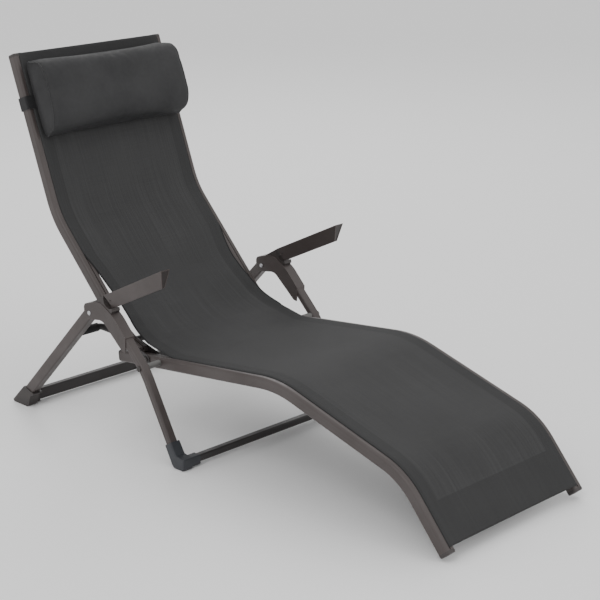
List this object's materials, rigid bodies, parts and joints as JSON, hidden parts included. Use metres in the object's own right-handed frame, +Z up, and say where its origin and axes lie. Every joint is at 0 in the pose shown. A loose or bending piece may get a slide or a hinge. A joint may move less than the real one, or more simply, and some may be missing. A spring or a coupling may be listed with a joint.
{
  "type": "reclining sun lounger",
  "caption": "Folding reclining sun lounger: a bent tubular frame with a stretched mesh sling, crossed legs, armrests and a strapped headrest pillow.",
  "frame": {"origin": "on the ground under the middle of the lounger's bounding box", "axes": "+X towards the foot end, +Y towards the sitter's left, +Z up"},
  "size_m": [1.5159, 0.641, 0.9351],
  "materials": {
    "frame": "brown-taupe powder coat, satin",
    "front_foot_plastic": "dark bluish-grey moulded plastic, satin",
    "rear_foot_plastic": "dark brown moulded plastic, satin",
    "bracket_plastic": "dark brown moulded plastic, matt",
    "cap_plastic": "dark brown moulded plastic, satin",
    "dark_bar": "near-black powder coat, satin",
    "sleeve_rubber": "black rubber, matt",
    "spacer_plastic": "grey moulded plastic",
    "dark_steel": "browned steel, satin",
    "rivet_metal": "plain steel, satin",
    "sling_fabric": "charcoal coated mesh fabric, matt",
    "keder_plastic": "black plastic edge cord",
    "pillow_cover": "smooth dark grey cover, slight sheen",
    "strap_webbing": "black elastic webbing"
  },
  "bodies": {
    "front_frame": {"right_elbow": "frame", "right_front_leg": "frame", "right_front_foot": "front_foot_plastic", "right_armrest_bracket": "bracket_plastic", "left_elbow": "frame", "left_front_leg": "frame", "left_front_foot": "front_foot_plastic", "left_armrest_bracket": "bracket_plastic", "front_crossbar": "dark_bar", "leg_pivot_rivets": "rivet_metal"},
    "rear_frame": {"right_rear_leg": "frame", "right_rear_foot": "rear_foot_plastic", "left_rear_leg": "frame", "left_rear_foot": "rear_foot_plastic", "rear_crossbar": "dark_bar", "spreader_bar": "dark_bar", "spreader_sleeves": "sleeve_rubber"},
    "tilt_pivot": {"seat_pivot_bolts": "dark_steel", "seat_pivot_nuts": "dark_steel", "seat_pivot_spacers": "spacer_plastic"},
    "seat_frame": {"right_seat_rail": "frame", "left_seat_rail": "frame", "seat_rear_caps": "cap_plastic", "foot_caps": "cap_plastic", "seat_crossbar": "dark_bar", "knee_crossbar": "dark_bar", "shin_crossbar": "dark_bar", "foot_crossbar": "dark_bar", "seat_sling": "sling_fabric", "seat_keder_rods": "keder_plastic", "hinge_pins": "dark_steel"},
    "back_frame": {"right_back_rail": "frame", "left_back_rail": "frame", "head_caps": "cap_plastic", "head_crossbar": "dark_bar", "lower_back_crossbar": "dark_bar", "back_sling": "sling_fabric", "back_keder_rods": "keder_plastic", "hinge_cheeks": "dark_bar", "cheek_rivets": "dark_steel"},
    "headrest": {"headrest_pillow": "pillow_cover", "headrest_strap": "strap_webbing"},
    "right_armrest_body": {"right_armrest": "frame", "right_armrest_end_cap": "cap_plastic", "right_armrest_pin": "dark_steel"},
    "left_armrest_body": {"left_armrest": "frame", "left_armrest_end_cap": "cap_plastic", "left_armrest_pin": "dark_steel"}
  },
  "joints": [
    {"name": "leg_fold", "type": "hinge", "parent": "front_frame", "child": "rear_frame", "pos_m": [-0.368, 0, 0.33], "axis": [0, -1, 0], "range_deg": [0, 72]},
    {"name": "recline", "type": "hinge", "parent": "front_frame", "child": "tilt_pivot", "pos_m": [-0.181, 0, 0.227], "axis": [0, -1, 0], "range_deg": [0, 11]},
    {"name": "frame_fold", "type": "hinge", "parent": "tilt_pivot", "child": "seat_frame", "pos_m": [-0.181, 0, 0.227], "axis": [0, 1, 0], "range_deg": [0, 52]},
    {"name": "back_fold", "type": "hinge", "parent": "seat_frame", "child": "back_frame", "pos_m": [-0.231, 0, 0.224], "axis": [0, 1, 0], "range_deg": [0, 104]},
    {"name": "headrest_slide", "type": "slide", "parent": "back_frame", "child": "headrest", "axis": [0.3608, 0, -0.9327], "range_m": [0, 0.08]},
    {"name": "right_armrest_lift", "type": "hinge", "parent": "front_frame", "child": "right_armrest_body", "pos_m": [-0.291, 0, 0.379], "axis": [0, -1, 0], "range_deg": [0, 50]},
    {"name": "left_armrest_lift", "type": "hinge", "parent": "front_frame", "child": "left_armrest_body", "pos_m": [-0.291, 0, 0.379], "axis": [0, -1, 0], "range_deg": [0, 50]}
  ],
  "couplings": [
    {"joint": "leg_fold", "follows": "frame_fold", "ratio": 1.3846}
  ]
}
